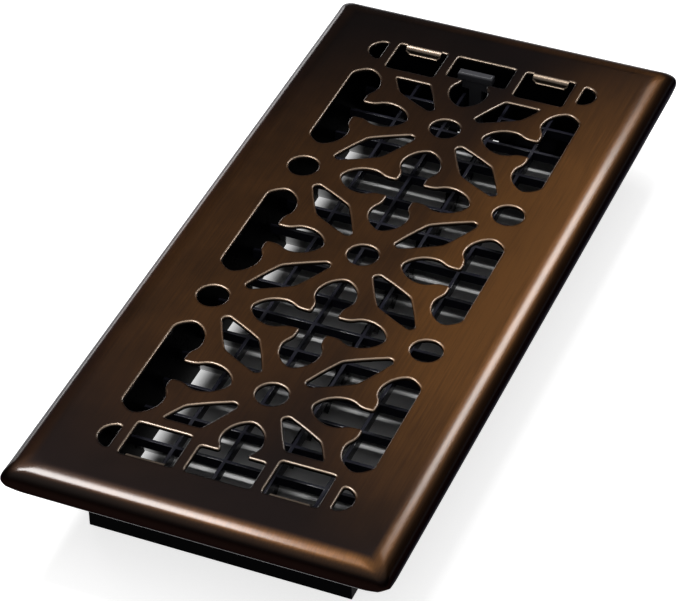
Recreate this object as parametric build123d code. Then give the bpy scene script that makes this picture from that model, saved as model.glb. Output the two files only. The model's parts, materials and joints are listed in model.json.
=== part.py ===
from build123d import *
import os
from math import cos, radians, sin

# Floor register: a stamped steel face plate with pierced tracery over a moulded damper box.
# Millimetres. X runs across the width and Y along the length, with the lever end at +Y.
# Z points up, and Z = 0 is the floor that the plate's rolled rim stands on.

# Damper box that drops into the duct
box_width = 95.0
box_length = 251.4
wall = 1.6
bottom_margin = 0.3

# Face plate: one sheet, pierced and drawn into a shallow pan that overhangs the box
overhang = 21.1
sheet = 1.2
rim_radius = 4.2
rim_lip = 2.8

# Tracery: crosses, petals and round holes on a lattice, one cell wide and three long
cell_count = 3
side_margin = 0.6
side_strip = 5.55
end_band = 4.85
round_hole_radius = 5.6
arm_tip = 24.8
leaf_half_width = 7.1
leaf_widest = 15.2
neck_half_width = 4.8
neck_end = 7.7
petal_point = 18.6
petal_half_width = 6.1
petal_hollow = 0.35
petal_tip_radius = 1.7
petal_cut = 16.05
cut_corner = 0.5

# Pierced row at each end: the lever opening, two slots with folded tabs, two D-shaped holes
lever_opening_width = 23.4
lever_opening_length = 13.2
slot_width = 19.4
slot_length = 16.1
slot_corner = 0.7
d_hole_radius = 5.6
d_hole_from_edge = 6.7

# Folded tabs that the damper box is pushed over
tab_width = 14.0
tab_drop = 4.6
tab_corner = 2.0
bend_radius = 0.3

# Air grid inside the box
grid_drop = 15.2
grid_depth = 3.8
grid_side_bays = 2
rib = 1.4
grid_rest_depth = 1.2
grid_rest_height = 2.0
rib_count_per_rest = 5

# Louvers, drawn half open as they rest
louver_pitch = 15.23
louver_gap = 0.43
louver_clearance = 0.3
louver_edge = 1.0
louver_middle = 1.9
louver_tilt = 36.5
pivot_diameter = 2.4
pivot_flat = 0.8
hole_side_count = 6
pin_clearance = 0.1
running_clearance = 0.4
shelf_thickness = 1.4
shelf_least = 8.0

# Link bar that ties the louvers together, on a crank pin of each one
crank_reach = 4.4
crank_offset = 2.9
crank_pin_diameter = 2.0
crank_pin_flat = 0.7
ear_thickness = 1.4
ear_root = 4.4
ear_tip = 3.2
ear_margin = 1.4
link_offset = 2.2
link_thickness = 2.4
link_height = 2.8
link_end = 3.0

# Thumb lever on the link bar's end
lever_offset = -2.0
lever_from_edge = 6.9
lever_below_face = 0.8
lever_width = 14.0
lever_thickness = 3.4
lever_cap_height = 3.0
lever_cap_round = 0.9
lever_neck_width = 10.6
lever_neck_height = 4.0
lever_stem_width = 5.0
lever_stem_thickness = 2.4
lever_foot_length = 3.6
lever_foot_wall = 1.0

# Plate and box, as they follow from the sizes above
plate_width = box_width + 2 * overhang
plate_length = box_length + 2 * overhang
plate_height = rim_radius + rim_lip
sheet_underside = plate_height - sheet
inner_half_width = box_width / 2 - wall
inner_half_length = box_length / 2 - wall
end_edge = inner_half_length
side_edge = inner_half_width - side_margin

# Lattice of the tracery
cell_across = 2 * (side_edge - side_strip)
row_end = end_edge - end_band
cell_along = 2 * row_end / cell_count
lattice_rows = [(i - (cell_count - 1) / 2) * cell_along for i in range(cell_count)]
between_rows = [(i - cell_count / 2 + 1) * cell_along for i in range(cell_count - 1)]
petal_flat = row_end - petal_cut
d_hole_flat = side_edge - d_hole_radius
slot_middle = (lever_opening_width / 2 + d_hole_flat) / 2

# Stack of the grid and the louvers, down from the underside of the sheet
louver_width = louver_pitch - louver_gap
box_top = sheet_underside
grid_top = box_top - grid_drop
grid_bottom = grid_top - grid_depth
pivot_level = grid_bottom - louver_clearance - louver_width / 2
box_bottom = pivot_level - louver_width / 2 - bottom_margin
box_depth = box_top - box_bottom
louver_count = int(2 * (inner_half_length - shelf_least) / louver_pitch)
louver_places = [(i - (louver_count - 1) / 2) * louver_pitch for i in range(louver_count)]
rib_places = [(i - louver_count / 2) * louver_pitch for i in range(louver_count + 1)]
grid_bays = 2 * grid_side_bays + 1
bay = 2 * inner_half_width / grid_bays
long_rib_places = [(i - grid_bays / 2) * bay for i in range(1, grid_bays)]
shelf_edge = louver_places[-1] + louver_width / 2 + running_clearance

# Crank pins and link bar at the drawn tilt
tilt = radians(louver_tilt)
crank_y = crank_reach * sin(tilt) - crank_offset * cos(tilt)
crank_z = -crank_reach * cos(tilt) - crank_offset * sin(tilt)
link_level = pivot_level + crank_z
lever_place = end_edge - lever_from_edge


def arm():
    """One arm of a cross: a straight neck that swells in an ogee to a pointed leaf."""
    neck = (neck_end, neck_half_width)
    widest = (leaf_widest, leaf_half_width)
    turn = ((neck_end + leaf_widest) / 2, (neck_half_width + leaf_half_width) / 2)
    side = Line((0, neck_half_width), neck)
    side += TangentArc(neck, turn, tangent=(1, 0))
    side += TangentArc(widest, turn, tangent=(-1, 0))
    side += TangentArc(widest, (arm_tip, 0), tangent=(1, 0))
    outline = side + mirror(side, Plane.XZ)
    outline += Line((0, -neck_half_width), (0, neck_half_width))
    return make_face(outline)


def cross():
    """Four arms about one centre."""
    one = arm()
    return one + Rot(0, 0, 90) * one + Rot(0, 0, 180) * one + Rot(0, 0, 270) * one


def half_cross(side):
    """A cross beside the box wall, cut off along a straight outer edge."""
    window = Rectangle(2 * side_edge, plate_length)
    kept = Pos(side * cell_across / 2, 0) * cross() & window
    return kept + Pos(side * (side_edge - side_strip / 2), 0) * Rectangle(side_strip, 2 * leaf_widest)


def petal():
    """A hollow-sided rhombus along X, sharp at its sides and rounded at its two points."""
    side = SagittaArc((0, petal_half_width), (petal_point, 0), petal_hollow)
    half = side + mirror(side, Plane.XZ)
    face = make_face(half + mirror(half, Plane.YZ))
    points = face.vertices().sort_by(Axis.X)
    return fillet([points[0], points[-1]], petal_tip_radius)


def petals():
    """Four petals round every round hole, those next to the ends cut off flat."""
    leaf = petal()
    field = Rectangle(plate_width, 2 * petal_flat)
    openings = []
    for y in lattice_rows:
        for across, along, turn in ((1, 1, 45), (-1, 1, 135), (-1, -1, 225), (1, -1, 315)):
            place = Pos(across * cell_across / 4, y + along * cell_along / 4)
            cut = place * Rot(0, 0, turn) * leaf & field
            if along * y + cell_along / 4 + petal_half_width > petal_flat:
                flat_edge = cut.edges().sort_by(Axis.Y)[-1 if along > 0 else 0]
                cut = chamfer(flat_edge.vertices(), cut_corner)
            openings.append(cut)
    return openings


def lattice_openings():
    """The crosses, half crosses, petals and round holes of the tracery."""
    whole = cross()
    openings = petals()
    for y in lattice_rows:
        openings.append(Pos(0, y) * Circle(round_hole_radius))
        openings += [Pos(0, y) * half_cross(side) for side in (-1, 1)]
    for y in between_rows:
        openings.append(Pos(0, y) * whole)
        openings += [Pos(side * cell_across / 2, y) * Circle(round_hole_radius) for side in (-1, 1)]
    return openings


def end_openings():
    """The pierced row at the +Y end: lever opening, two slots and two D-shaped holes."""
    lever_opening = Rectangle(lever_opening_width, lever_opening_length)
    lever_opening = chamfer(lever_opening.vertices(), slot_corner)
    leaf = Pos(0, row_end) * Rot(0, 0, -90) * arm()
    openings = [Pos(0, end_edge - lever_opening_length / 2) * lever_opening + leaf]
    slot = Rectangle(slot_width, slot_length)
    slot = chamfer(slot.vertices(), slot_corner)
    round_side = Circle(d_hole_radius) & Pos(d_hole_radius, 0) * Rectangle(
        2 * d_hole_radius, 2 * d_hole_radius)
    d_hole = Pos(d_hole_flat, end_edge - d_hole_from_edge) * round_side
    for side in (-1, 1):
        openings.append(Pos(side * slot_middle, end_edge - slot_length / 2) * slot)
    openings += [d_hole, mirror(d_hole, Plane.YZ)]
    return openings


def tab():
    """A tab folded down from the +Y edge of a slot, centred on X = 0."""
    outer = bend_radius + sheet
    bend_level = plate_height - outer
    low = plate_height - tab_drop
    front = end_edge - outer
    back = end_edge - bend_radius
    section = Line((end_edge, plate_height), (end_edge, sheet_underside))
    section += RadiusArc((end_edge, sheet_underside), (back, bend_level), -bend_radius)
    section += Polyline((back, bend_level), (back, low), (front, low), (front, bend_level))
    section += RadiusArc((front, bend_level), (end_edge, plate_height), outer)
    blank = extrude(Plane.YZ * make_face(section), tab_width / 2, both=True)
    corners = blank.edges().filter_by(Axis.Y).group_by(Axis.Z)[0]
    return chamfer(corners, tab_corner)


def pan(inset, height):
    """The drawn outline of the plate with ball corners, inset by a wall, standing on the floor."""
    plan = RectangleRounded(plate_width - 2 * inset, plate_length - 2 * inset, rim_radius - inset)
    body = extrude(plan, height)
    return fillet(body.edges().group_by(Axis.Z)[-1], rim_radius - inset)


def face_plate():
    """The pierced sheet with its rolled rim and folded tabs."""
    plate = pan(0, plate_height) - pan(sheet, sheet_underside)
    far_end = end_openings()
    openings = lattice_openings() + far_end
    openings += [Rot(0, 0, 180) * opening for opening in far_end]
    plate -= [Pos(0, 0, sheet_underside) * extrude(opening, sheet) for opening in openings]
    for side in (-1, 1):
        folded = Pos(side * slot_middle, 0, 0) * tab()
        plate += [folded, Rot(0, 0, 180) * folded]
    return plate


def flat_pin(diameter, flat):
    """The section of a moulded pin: round at its two bearing sides and flat between them."""
    return Circle(diameter / 2) & Rectangle(flat, diameter)


def pin_hole(diameter, length):
    """A many-sided hole along X, in which a round pin turns with clearance at each flat."""
    plan = RegularPolygon(diameter / 2 + pin_clearance, hole_side_count, major_radius=False)
    return extrude(Plane.YZ * plan, length / 2, both=True)


def damper_box():
    """Four walls with pivot holes, a shelf at each end and small rests for the grid."""
    middle = (box_top + box_bottom) / 2
    box = Pos(0, 0, middle) * Box(box_width, box_length, box_depth)
    box -= Pos(0, 0, middle) * Box(2 * inner_half_width, 2 * inner_half_length, box_depth)
    shelf_length = inner_half_length - shelf_edge
    shelf_middle = shelf_edge + shelf_length / 2
    shelf = Box(2 * inner_half_width, shelf_length, shelf_thickness)
    box += [Pos(0, side * shelf_middle, pivot_level) * shelf for side in (-1, 1)]
    box -= Pos(0, shelf_middle, pivot_level) * Box(bay - rib, shelf_length, shelf_thickness)
    hole = pin_hole(pivot_diameter, box_width)
    box -= [Pos(0, y, pivot_level) * hole for y in louver_places]
    rest = Box(grid_rest_depth, rib, grid_rest_height)
    rest_place = inner_half_width - grid_rest_depth / 2
    rest_level = grid_bottom - grid_rest_height / 2
    for y in rib_places[::rib_count_per_rest]:
        box += [Pos(side * rest_place, y, rest_level) * rest for side in (-1, 1)]
    return box


def air_grid():
    """Crossed ribs between the walls, open at the lever's bay."""
    middle = (grid_top + grid_bottom) / 2
    across = Box(2 * inner_half_width, rib, grid_depth)
    along = Box(rib, 2 * inner_half_length, grid_depth)
    ribs = [Pos(0, y, middle) * across for y in rib_places]
    ribs += [Pos(x, 0, middle) * along for x in long_rib_places]
    grid = ribs[0] + ribs[1:]
    return grid - Pos(0, rib_places[-1], middle) * Box(bay - rib, rib, grid_depth)


def crank():
    """The ear on a louver's lower face, with the pin that the link bar turns on."""
    ear_start = link_offset + link_thickness / 2 + running_clearance
    tip = -crank_offset - ear_margin
    ear_plan = make_face(Polyline(
        (0, ear_root / 2 - crank_reach), (tip, ear_tip / 2 - crank_reach),
        (tip, -ear_tip / 2 - crank_reach), (0, -ear_root / 2 - crank_reach), close=True))
    ear = extrude(Plane.YZ.offset(ear_start) * ear_plan, ear_thickness)
    pin_length = link_thickness + 2 * running_clearance
    pin_plan = Pos(-crank_offset, -crank_reach) * flat_pin(crank_pin_diameter, crank_pin_flat)
    return ear + extrude(Plane.YZ.offset(ear_start) * pin_plan, -pin_length)


def louver():
    """One louver standing upright with its pivot on the X axis."""
    half = louver_width / 2
    blade_length = 2 * (inner_half_width - running_clearance)
    section = Polyline(
        (-louver_edge / 2, half), (louver_edge / 2, half), (louver_middle / 2, 0),
        (louver_edge / 2, -half), (-louver_edge / 2, -half), (-louver_middle / 2, 0), close=True)
    blade = extrude(Plane.YZ * make_face(section), blade_length / 2, both=True)
    notch_start = crank_reach - link_height / 2 - running_clearance
    notch = Box(link_thickness + 2 * running_clearance, louver_middle, half - notch_start)
    blade -= Pos(link_offset, 0, -(half + notch_start) / 2) * notch
    pivot_length = box_width - 2 * pin_clearance
    blade += extrude(Plane.YZ * flat_pin(pivot_diameter, pivot_flat), pivot_length / 2, both=True)
    return blade + crank()


def link_bar():
    """The tie bar, bored for every crank pin, ending in the lever's foot."""
    start = louver_places[0] + crank_y - link_end
    finish = lever_place + lever_foot_length / 2 - lever_foot_wall
    bar = Pos(link_offset, (start + finish) / 2, link_level) * Box(
        link_thickness, finish - start, link_height)
    bore = pin_hole(crank_pin_diameter, link_thickness)
    return bar - [Pos(link_offset, y + crank_y, link_level) * bore for y in louver_places]


def lever():
    """The thumb lever: a rounded cap on a stepped stem, with a foot that takes the bar's end."""
    cap_top = plate_height - lever_below_face
    cap_bottom = cap_top - lever_cap_height
    neck_bottom = cap_bottom - lever_neck_height
    foot_height = link_height + 2 * lever_foot_wall
    foot_bottom = link_level - foot_height / 2
    foot_left = min(lever_offset - lever_stem_width / 2, link_offset - link_thickness / 2 - lever_foot_wall)
    foot_right = max(lever_offset + lever_stem_width / 2, link_offset + link_thickness / 2 + lever_foot_wall)
    cap = Pos(lever_offset, lever_place, cap_top - lever_cap_height / 2) * Box(
        lever_width, lever_thickness, lever_cap_height)
    cap = fillet(cap.edges().group_by(Axis.Z)[-1], lever_cap_round)
    neck = Pos(lever_offset, lever_place, (cap_bottom + neck_bottom) / 2) * Box(
        lever_neck_width, lever_stem_thickness, lever_neck_height)
    stem = Pos(lever_offset, lever_place, (neck_bottom + foot_bottom) / 2) * Box(
        lever_stem_width, lever_stem_thickness, neck_bottom - foot_bottom)
    foot = Pos((foot_left + foot_right) / 2, lever_place, link_level) * Box(
        foot_right - foot_left, lever_foot_length, foot_height)
    return cap + neck + stem + foot - link_bar()


os.makedirs("parts", exist_ok=True)
export_step(face_plate(), "parts/face_plate.step")
export_step(damper_box(), "parts/damper_box.step")
export_step(air_grid(), "parts/air_grid.step")
export_step(link_bar(), "parts/link_bar.step")
export_step(lever(), "parts/lever.step")
one_louver = louver()
for number, place in enumerate(louver_places, start=1):
    placed = Pos(0, place, pivot_level) * Rot(louver_tilt, 0, 0) * one_louver
    export_step(placed, f"parts/louver_{number:02d}.step")
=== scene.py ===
"""Looks of a floor register: a pierced bronze face plate over a black damper box with louvers."""

import json
import math

import bmesh
import bpy
from bpy.props import FloatProperty, FloatVectorProperty, IntProperty, PointerProperty
from mathutils import Euler, Matrix, Quaternion, Vector


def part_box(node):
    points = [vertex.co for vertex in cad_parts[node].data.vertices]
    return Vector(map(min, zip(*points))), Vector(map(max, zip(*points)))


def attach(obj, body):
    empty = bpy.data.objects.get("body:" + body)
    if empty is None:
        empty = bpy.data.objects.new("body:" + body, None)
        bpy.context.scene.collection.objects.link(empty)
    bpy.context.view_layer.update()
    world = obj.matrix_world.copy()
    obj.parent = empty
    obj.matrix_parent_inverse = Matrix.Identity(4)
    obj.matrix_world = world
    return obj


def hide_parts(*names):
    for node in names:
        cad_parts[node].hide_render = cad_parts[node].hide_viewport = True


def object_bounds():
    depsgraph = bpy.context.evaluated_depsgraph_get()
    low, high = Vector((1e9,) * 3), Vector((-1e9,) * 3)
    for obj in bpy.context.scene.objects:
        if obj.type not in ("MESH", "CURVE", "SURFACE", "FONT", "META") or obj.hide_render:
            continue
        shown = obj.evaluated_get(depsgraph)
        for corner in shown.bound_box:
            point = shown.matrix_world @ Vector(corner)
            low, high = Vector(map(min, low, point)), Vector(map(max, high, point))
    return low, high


bl_info = {
    "name": "Floor Register",
    "version": (1, 0, 0),
    "blender": (4, 5, 0),
    "location": "3D View > Sidebar > Register",
    "description": "Builds the finished pieces of a floor register around its packed model",
    "category": "Object",
}

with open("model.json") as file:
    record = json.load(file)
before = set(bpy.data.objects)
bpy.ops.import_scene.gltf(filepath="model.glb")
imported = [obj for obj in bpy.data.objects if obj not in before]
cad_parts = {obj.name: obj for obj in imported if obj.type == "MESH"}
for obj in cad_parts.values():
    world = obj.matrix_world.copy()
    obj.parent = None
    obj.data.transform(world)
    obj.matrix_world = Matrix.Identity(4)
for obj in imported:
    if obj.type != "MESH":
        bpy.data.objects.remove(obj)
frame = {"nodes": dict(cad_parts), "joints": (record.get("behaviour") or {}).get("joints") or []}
cad_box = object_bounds()

# How points, faces and corners of the plate are told apart
WELD = 1e-6
FLAT_NORMAL = 0.9995
WALL_NORMAL = 0.1
SHARP_TURN = 0.35
TRIM_SHARE = 0.4

# How finely edges and curves are drawn
QUARTER_TURN = math.pi / 2
SMOOTH_ANGLE = math.radians(32)
BEVEL_ANGLE = math.radians(25)
FLAT_ANGLE = math.radians(1)
EDGE_STEPS = 5
BEVEL_SEGMENTS = 2
FILLET_POINTS = 3
PIN_SIDES = 24

# How far the plate's edges are worn bare everywhere, how much painted highlight is added on the far and left
# edges of the openings, and how far the tabs are worn bare with a painted highlight on their bends
GLINT_SIDE = Vector((-0.5, 0.866))
WORN_EVERYWHERE = 0.05
GLINT_FACING = 0.35
WORN_GLINT_TAB = 0.45

# Where the middle row of the lip's rounding lies, as a share of its radius
LIP_TURN = 0.3

# Stretch of the grain, scale of the cloudiness and strength of the relief of each finish
BRUSHED = ((2200, 60, 2200), 60.0, 0.2)
MOULDED = ((1600, 1600, 1600), 90.0, 0.04)
RELIEF_DEPTH = 0.0001
FINE_DETAIL = 3.0
BROAD_DETAIL = 4.0
NOISE_BAND = (0.3, 0.7)

# Bronze: place, size and strength of the rubbed patches, which also paint the sheen of the light, where the
# rim is rubbed and painted with a copper highlight, the heights between which the finish fades to a painted
# shade on the upright rim, its coat, roughness and tint, and how much the grain changes the rubbing
RIGHT_RUBBED_SHEEN = ((0.055, 0.012, 0.0), (0.07, 0.18, 0.1), 1.0)
LEFT_RUBBED_SHEEN = ((-0.03, 0.0, 0.0), (0.09, 0.16, 0.1), 0.5)
PATCH_BAND = (0.1, 0.75)
RIM_BAND = (-1.0, -0.6)
RIM_SIDES = (-0.04, 0.05)
RIM_RUBBED_SHEEN = (0.15, 0.8)
SHADED_RIM_HEIGHTS = (0.0045, 0.0066)
COAT_HEIGHTS = (0.004, 0.006)
LIP_HEIGHTS = (0.0005, 0.0025)
COAT_WEIGHT = 0.42
COAT_ROUGHNESS = 0.16
BRONZE_ROUGHNESS = (0.34, 0.42)
BRONZE_TINT = (0.45, 0.45, 0.47, 1)
GRAIN_SHARE = (0.75, 1.2)

# Roughness and gloss of the mouldings, and how much cloudiness changes their roughness and colour
BOX_FINISH = (0.3, 0.006)
RIB_FINISH = (0.2, 0.3)
LOUVER_FINISH = (0.13, 0.3)
LEVER_FINISH = (0.3, 0.2)
CLOUD_ROUGHNESS = 0.05
CLOUD_PALENESS = 1.4

# Stage: directions between which the studio's light changes, the floor with the soft edge of its painted
# shadow under the box, and the camera
HORIZON_BAND = (math.sin(math.radians(4)), math.sin(math.radians(9)))
SKY_BAND = (math.sin(math.radians(30)), math.sin(math.radians(75)))
FRONT_BAND = (-0.8, -0.1)
WHITE = (1, 1, 1, 1)
FLOOR_COLOUR = (0.8, 0.8, 0.8, 1)
FLOOR_GAP = 0.0002
PAINTED_SHADOW_BLUR = 0.008
CAMERA_PLACE = (0.333285, -0.787573, 0.69916)
CAMERA_TURN_DEGREES = (50.1798, 0.92063, 22.73125)
CAMERA_CLIP = 0.01

# Sockets of a Mix node that take and give colours
MIX_INPUTS = (6, 7)
MIX_RESULT = 2


class PlateSizes(bpy.types.PropertyGroup):
    """Sizes and colours of the pierced face plate."""

    sheet: FloatProperty(
        name="Sheet", description="Thickness of the steel sheet", default=0.0012, subtype="DISTANCE")
    corner_radius: FloatProperty(
        name="Corner radius", description="Radius of the plate's corners in plan",
        default=0.0032, subtype="DISTANCE")
    corner_soft: FloatProperty(
        name="Corner softness", description="How much the corners widen towards the flat of the plate",
        default=0.3)
    corner_lift: FloatProperty(
        name="Corner lift", description="How far the rim's lower edge rises at the corners",
        default=0.0016, subtype="DISTANCE")
    corner_lead: FloatProperty(
        name="Corner lead", description="Length beside a corner over which the lower edge rises",
        default=0.006, subtype="DISTANCE")
    lead_radius: FloatProperty(
        name="Lead radius", description="Radius of the gentle slope that leads from the flat to the rim",
        default=0.025, subtype="DISTANCE")
    lead_angle: FloatProperty(
        name="Lead angle", description="How steep the lead gets before the rim rolls down",
        default=math.radians(13.3), subtype="ANGLE")
    roll_radius: FloatProperty(
        name="Roll radius", description="Radius with which the rim rolls down to upright",
        default=0.0052, subtype="DISTANCE")
    lip_round: FloatProperty(
        name="Lip round", description="Rounding of the rim's lower edge",
        default=0.00045, subtype="DISTANCE")
    edge_width: FloatProperty(
        name="Edge width", description="Width over which the press draws down each opening's edge",
        default=0.0009, subtype="DISTANCE")
    edge_drop: FloatProperty(
        name="Edge drop", description="Depth to which the press draws down each opening's edge",
        default=0.00034, subtype="DISTANCE")
    edge_fullness: FloatProperty(
        name="Edge fullness", description="Shape of the drawn edges and bends", default=2.2)
    corner_round: FloatProperty(
        name="Opening corner", description="How far from a sharp corner an outline starts to round it",
        default=0.00135, subtype="DISTANCE")
    bend_radius: FloatProperty(
        name="Bend radius", description="Inner radius of the folded tabs",
        default=0.0003, subtype="DISTANCE")
    tab_drop: FloatProperty(
        name="Tab drop", description="How far a tab's end lies below the face",
        default=0.0031, subtype="DISTANCE")
    tab_corner: FloatProperty(
        name="Tab corner", description="Corner cut off at a tab's end",
        default=0.0014, subtype="DISTANCE")
    tab_foot: FloatProperty(
        name="Tab foot", description="How far a tab's end is turned out",
        default=0.0006, subtype="DISTANCE")
    # Partly painted light: besides the rubbed bronze, this colour paints the sheen of the light over the
    # plate's middle and right, and the copper of the rim's highlight
    rubbed: FloatVectorProperty(
        name="Rubbed bronze", description="Colour of the bronze where the finish is rubbed thin",
        default=(0.073, 0.0295, 0.0068), subtype="COLOR")
    # Partly painted shade: besides the thick finish, this colour paints the shade on the upright rim and
    # towards the ends of the plate
    dark: FloatVectorProperty(
        name="Dark bronze", description="Colour of the bronze where the finish is thick",
        default=(0.005, 0.0023, 0.0018), subtype="COLOR")
    # Partly painted light: besides the worn metal, this colour paints the highlights on the far and left
    # edges of the openings and on the tab bends
    bare: FloatVectorProperty(
        name="Bare edge", description="Colour of the metal on the worn edges",
        default=(0.36, 0.28, 0.21), subtype="COLOR")
    # Partly painted light: the cut edge's steel grey is lightened to paint the highlight line along the
    # rim's lower edge
    steel: FloatVectorProperty(
        name="Cut steel", description="Colour of the steel on the rim's cut lower edge",
        default=(0.5, 0.5, 0.5), subtype="COLOR")


class GridSizes(bpy.types.PropertyGroup):
    """Sizes of the crossed ribs."""

    rib: FloatProperty(
        name="Rib", description="Thickness of a rib", default=0.0014, subtype="DISTANCE")
    edge_round: FloatProperty(
        name="Edge round", description="Rounding of a rib's edges", default=0.0003, subtype="DISTANCE")
    pitch: FloatProperty(
        name="Pitch", description="Spacing of the ribs that run across",
        default=0.01523, subtype="DISTANCE")
    cross_ribs: IntProperty(
        name="Cross ribs", description="Number of ribs that run across", default=16)
    long_ribs: IntProperty(
        name="Long ribs", description="Number of ribs that run along", default=4)


class SlatSizes(bpy.types.PropertyGroup):
    """Sizes of one louver, standing upright on its pivot."""

    blade: FloatVectorProperty(
        name="Blade", description="Length, edge thickness and width of the blade",
        default=(0.091, 0.001, 0.0148), subtype="XYZ", unit="LENGTH")
    middle: FloatProperty(
        name="Middle", description="Thickness of the blade at its pivot", default=0.0019, subtype="DISTANCE")
    pivot: FloatVectorProperty(
        name="Pivot pins", description="Length over both pins, thickness across their flats, diameter",
        default=(0.0948, 0.0008, 0.0024), subtype="XYZ", unit="LENGTH")
    notch: FloatVectorProperty(
        name="Notch", description="Notch that lets the link bar through",
        default=(0.0032, 0.004, 0.0056), subtype="XYZ", unit="LENGTH")
    notch_place: FloatVectorProperty(
        name="Notch place", description="Middle of the notch",
        default=(0.0022, 0.0, -0.0054), subtype="XYZ", unit="LENGTH")
    ear: FloatVectorProperty(
        name="Ear", description="Thickness, reach and root height of the crank ear",
        default=(0.0014, 0.0043, 0.0044), subtype="XYZ", unit="LENGTH")
    ear_tip: FloatProperty(
        name="Ear tip", description="Height of the crank ear at its tip", default=0.0032, subtype="DISTANCE")
    ear_place: FloatVectorProperty(
        name="Ear place", description="Middle of the crank ear",
        default=(0.0045, -0.00215, -0.0044), subtype="XYZ", unit="LENGTH")
    crank: FloatVectorProperty(
        name="Crank pin", description="Length, thickness across its flats and diameter of the crank pin",
        default=(0.0034, 0.0007, 0.002), subtype="XYZ", unit="LENGTH")
    crank_place: FloatVectorProperty(
        name="Crank place", description="Middle of the crank pin",
        default=(0.0023, -0.0029, -0.0044), subtype="XYZ", unit="LENGTH")
    tilt: FloatProperty(
        name="Tilt", description="How far the louvers lean at rest",
        default=math.radians(36.5), subtype="ANGLE")


class MouldSizes(bpy.types.PropertyGroup):
    """Rounding and colours of the moulded pieces."""

    box_round: FloatProperty(
        name="Box round", description="Edge rounding of the damper box",
        default=0.0004, subtype="DISTANCE")
    louver_round: FloatProperty(
        name="Louver round", description="Edge rounding of the louvers",
        default=0.00025, subtype="DISTANCE")
    lever_round: FloatProperty(
        name="Lever round", description="Edge rounding of the lever and its bar",
        default=0.0003, subtype="DISTANCE")
    black: FloatVectorProperty(
        name="Black", description="Colour of the box, the louvers and the link bar",
        default=(0.0016, 0.0016, 0.002), subtype="COLOR")
    # Painted light: a lighter black than the box's, standing in for the light on the ribs' tops
    rib_painted_lit_black: FloatVectorProperty(
        name="Painted lit rib black", description="Colour of the crossed ribs",
        default=(0.012, 0.012, 0.018), subtype="COLOR")
    grey: FloatVectorProperty(
        name="Lever grey", description="Colour of the thumb lever",
        default=(0.03, 0.03, 0.034), subtype="COLOR")


class StageSizes(bpy.types.PropertyGroup):
    """Floor, lamps and camera."""

    floor_size: FloatProperty(
        name="Floor", description="Side of the floor", default=6.0, subtype="DISTANCE")
    floor_glow: FloatProperty(
        name="Floor glow", description="How strongly the floor shows white", default=0.72)
    # Painted shadow: the floor's glow under the box, which leaves the floor dark there
    duct_glow: FloatProperty(
        name="Glow in painted shadow", description="How strongly the floor shows under the box", default=0.0)
    fill: FloatProperty(
        name="Fill", description="Strength of the studio's light from the sides", default=0.08)
    sky: FloatProperty(
        name="Sky", description="Strength of the studio's light from above", default=0.6)
    front: FloatProperty(
        name="Front", description="Strength of the studio's added light from the near side", default=0.35)
    left_place: FloatVectorProperty(
        name="Left lamp place", description="Place of the tall lamp behind on the left",
        default=(-0.447, 0.2, 0.9), subtype="TRANSLATION")
    left_size: FloatVectorProperty(
        name="Left lamp size", description="Width and height of the tall lamp",
        default=(0.2, 0.3), size=2, unit="LENGTH")
    left_roll: FloatProperty(
        name="Left lamp roll", description="Turn of the tall lamp about its beam",
        default=math.radians(36), subtype="ANGLE")
    left_power: FloatProperty(
        name="Left lamp", description="Power of the tall lamp", default=8.3, subtype="POWER")
    rear_place: FloatVectorProperty(
        name="Rear lamp place", description="Place of the lamp behind",
        default=(0.006, 0.78, 0.777), subtype="TRANSLATION")
    rear_size: FloatVectorProperty(
        name="Rear lamp size", description="Width and height of the lamp behind",
        default=(0.12, 0.28), size=2, unit="LENGTH")
    rear_power: FloatProperty(
        name="Rear lamp", description="Power of the lamp behind", default=2.8, subtype="POWER")
    low_place: FloatVectorProperty(
        name="Low lamp place", description="Place of the low lamp on the left",
        default=(-0.896, 0.84, 0.15), subtype="TRANSLATION")
    low_size: FloatVectorProperty(
        name="Low lamp size", description="Width and height of the low lamp",
        default=(0.45, 0.25), size=2, unit="LENGTH")
    low_power: FloatProperty(
        name="Low lamp", description="Power of the low lamp", default=2.1, subtype="POWER")
    lens: FloatProperty(
        name="Lens", description="Focal length of the camera", default=165.94, unit="CAMERA")


class RegisterLooks(bpy.types.PropertyGroup):
    """All sizes and colours of the register's looks."""

    plate: PointerProperty(name="Plate", description="The pierced face plate", type=PlateSizes)
    grid: PointerProperty(name="Grid", description="The crossed ribs", type=GridSizes)
    slat: PointerProperty(name="Slat", description="One louver", type=SlatSizes)
    mould: PointerProperty(name="Mould", description="The moulded pieces", type=MouldSizes)
    stage: PointerProperty(name="Stage", description="Floor, lamps and camera", type=StageSizes)


# Meshes

def merged_shell(mesh):
    """A copy of a mesh with its loose triangles joined at their corners."""
    shell = bmesh.new()
    shell.from_mesh(mesh)
    bmesh.ops.remove_doubles(shell, verts=shell.verts, dist=WELD)
    shell.normal_update()
    return shell


def new_piece(name, shell, material):
    """An object at the origin made from a finished shell."""
    mesh = bpy.data.meshes.new(name)
    shell.to_mesh(mesh)
    shell.free()
    mesh.materials.append(material)
    piece = bpy.data.objects.new(name, mesh)
    bpy.context.scene.collection.objects.link(piece)
    return piece


def settle(piece):
    """Turn a piece's modifiers into a plain mesh."""
    graph = bpy.context.evaluated_depsgraph_get()
    mesh = bpy.data.meshes.new_from_object(piece.evaluated_get(graph))
    piece.modifiers.clear()
    piece.data = mesh
    mesh.name = piece.name
    if not mesh.polygons:
        raise RuntimeError(piece.name + " came out empty")


def smooth(piece):
    """Shade round faces smooth and keep flat faces flat."""
    for polygon in piece.data.polygons:
        polygon.use_smooth = True
    piece.data.set_sharp_from_angle(angle=SMOOTH_ANGLE)
    normals = piece.modifiers.new("Even normals", "WEIGHTED_NORMAL")
    normals.keep_sharp = True
    settle(piece)


def dress(piece, body, node_name):
    """Let a finished piece ride on its body in place of its node."""
    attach(piece, body)
    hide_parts(node_name)


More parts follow.
